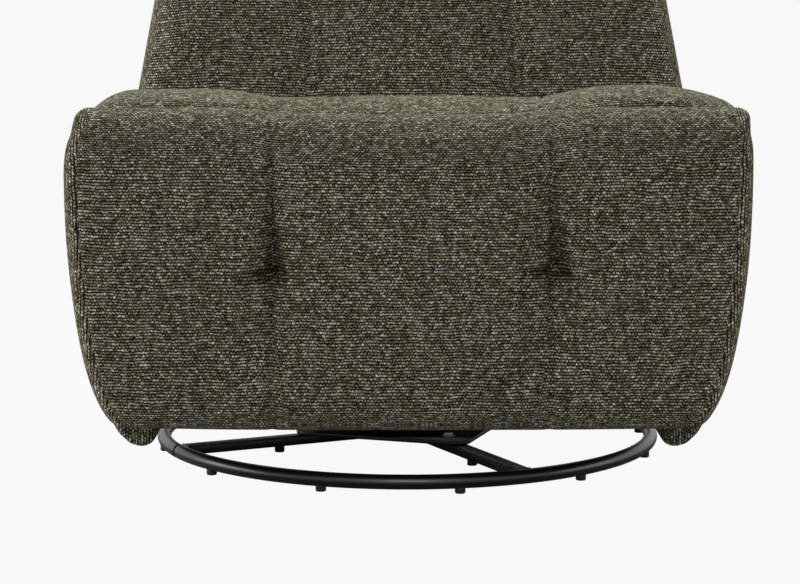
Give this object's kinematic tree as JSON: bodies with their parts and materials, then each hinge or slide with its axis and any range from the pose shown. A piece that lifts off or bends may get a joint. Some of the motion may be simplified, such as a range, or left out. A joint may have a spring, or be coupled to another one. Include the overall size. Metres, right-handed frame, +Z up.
{
  "type": "swivel glider recliner",
  "caption": "Armless upholstered recliner on a round steel ring base: it swivels, glides on hanging links, reclines, and lifts a tufted footrest panel.",
  "frame": {"origin": "on the floor, on the swivel's axis, at the middle of the bounding box's bottom", "axes": "+Z up, the sitter faces -Y, +X is to the sitter's left"},
  "size_m": [0.839, 0.8611, 1.0069],
  "materials": {
    "black_steel": "semi-gloss black enamel",
    "zinc_steel": "zinc plated",
    "foot_rubber": "matt",
    "plywood": "raw plywood",
    "tweed_fabric": "chunky horizontal rows of dark olive and beige tweed"
  },
  "bodies": {
    "base": {"ring_front": "black_steel", "ring_rear": "black_steel", "ring_foot_01": "foot_rubber", "ring_foot_02": "foot_rubber", "ring_foot_03": "foot_rubber", "ring_foot_04": "foot_rubber", "ring_foot_05": "foot_rubber", "ring_foot_06": "foot_rubber", "ring_foot_07": "foot_rubber", "ring_foot_08": "foot_rubber", "ring_foot_09": "foot_rubber", "ring_foot_10": "foot_rubber", "ring_foot_11": "foot_rubber", "ring_foot_12": "foot_rubber", "arm_long": "black_steel", "arm_short_left": "black_steel", "arm_short_right": "black_steel", "centre_plate": "black_steel", "bearing_ring": "zinc_steel", "king_bolt": "zinc_steel"},
    "swivel": {"swivel_plate": "black_steel", "glide_plate_left": "black_steel", "glide_plate_right": "black_steel"},
    "link_front_left": {"glide_link_front_left": "zinc_steel"},
    "link_front_right": {"glide_link_front_right": "zinc_steel"},
    "link_rear_left": {"glide_link_rear_left": "zinc_steel"},
    "link_rear_right": {"glide_link_rear_right": "zinc_steel"},
    "seat": {"platform_rail_left": "black_steel", "platform_rail_right": "black_steel", "platform_beam_front": "black_steel", "platform_beam_rear": "black_steel", "side_frame_left": "plywood", "side_frame_right": "plywood", "front_rail": "plywood", "seat_deck": "plywood", "side_panel_left": "tweed_fabric", "side_panel_right": "tweed_fabric", "rear_panel": "tweed_fabric", "seat_cushion": "tweed_fabric", "footrest_mount_left": "zinc_steel", "footrest_mount_right": "zinc_steel"},
    "bars_a": {"footrest_bar_a_left": "zinc_steel", "footrest_bar_a_right": "zinc_steel", "torque_tube": "zinc_steel"},
    "bars_b": {"footrest_bar_b_left": "zinc_steel", "footrest_bar_b_right": "zinc_steel"},
    "bars_c": {"footrest_bar_c_left": "zinc_steel", "footrest_bar_c_right": "zinc_steel"},
    "bars_d": {"footrest_bar_d_left": "zinc_steel", "footrest_bar_d_right": "zinc_steel"},
    "footrest": {"footrest_bracket_left": "zinc_steel", "footrest_bracket_right": "zinc_steel", "footrest_board": "plywood", "footrest_pad": "tweed_fabric"},
    "back": {"back_frame": "plywood", "back_cushion": "tweed_fabric", "back_cover": "tweed_fabric", "back_bracket_left": "zinc_steel", "back_bracket_right": "zinc_steel"},
    "lever": {"release_lever": "black_steel"}
  },
  "joints": [
    {"name": "swivel", "type": "hinge", "parent": "base", "child": "swivel", "pos_m": [0, 0, 0.03], "axis": [0, 0, 1], "continuous": true},
    {"name": "glide", "type": "hinge", "parent": "swivel", "child": "link_front_left", "pos_m": [0.1359, -0.15, 0.262], "axis": [1, 0, 0], "range_deg": [-18, 18]},
    {"name": "glide_front_right", "type": "hinge", "parent": "swivel", "child": "link_front_right", "pos_m": [-0.1359, -0.15, 0.262], "axis": [1, 0, 0], "range_deg": [-18, 18]},
    {"name": "glide_rear_left", "type": "hinge", "parent": "swivel", "child": "link_rear_left", "pos_m": [0.1359, 0.15, 0.262], "axis": [1, 0, 0], "range_deg": [-18, 18]},
    {"name": "glide_rear_right", "type": "hinge", "parent": "swivel", "child": "link_rear_right", "pos_m": [-0.1359, 0.15, 0.262], "axis": [1, 0, 0], "range_deg": [-18, 18]},
    {"name": "platform", "type": "hinge", "parent": "link_front_left", "child": "seat", "pos_m": [0.1359, -0.15, 0.1], "axis": [1, 0, 0], "range_deg": [-18, 18]},
    {"name": "recline", "type": "hinge", "parent": "seat", "child": "back", "pos_m": [0, 0.185, 0.32], "axis": [-1, 0, 0], "range_deg": [0, 32]},
    {"name": "footrest", "type": "hinge", "parent": "seat", "child": "bars_a", "pos_m": [0, -0.2808, 0.316], "axis": [-1, 0, 0], "range_deg": [0, 100]},
    {"name": "footrest_elbow", "type": "hinge", "parent": "bars_a", "child": "bars_b", "pos_m": [0, -0.21336, 0.13944], "axis": [-1, 0, 0], "range_deg": [-119, 0]},
    {"name": "footrest_panel", "type": "hinge", "parent": "bars_b", "child": "footrest", "pos_m": [0, -0.3348, 0.275], "axis": [-1, 0, 0], "range_deg": [0, 109]},
    {"name": "footrest_lower_bars", "type": "hinge", "parent": "seat", "child": "bars_c", "pos_m": [0, -0.2508, 0.286], "axis": [-1, 0, 0], "range_deg": [0, 101.9]},
    {"name": "footrest_upper_bars", "type": "hinge", "parent": "bars_a", "child": "bars_d", "pos_m": [0, -0.23022, 0.18358], "axis": [-1, 0, 0], "range_deg": [-127.6, 0]},
    {"name": "release_lever", "type": "hinge", "parent": "seat", "child": "lever", "pos_m": [-0.41, -0.02, 0.172], "axis": [-1, 0, 0], "range_deg": [0, 25], "stiffness_Nm_per_rad": 3, "springref_deg": -9.74}
  ],
  "couplings": [
    {"joint": "glide_front_right", "follows": "glide", "ratio": 1},
    {"joint": "glide_rear_left", "follows": "glide", "ratio": 1},
    {"joint": "glide_rear_right", "follows": "glide", "ratio": 1},
    {"joint": "platform", "follows": "glide", "ratio": -1},
    {"joint": "footrest_elbow", "follows": "footrest", "ratio": -1.19},
    {"joint": "footrest_panel", "follows": "footrest", "ratio": 1.09},
    {"joint": "footrest_lower_bars", "follows": "footrest", "ratio": 1.019},
    {"joint": "footrest_upper_bars", "follows": "footrest", "ratio": -1.276}
  ]
}
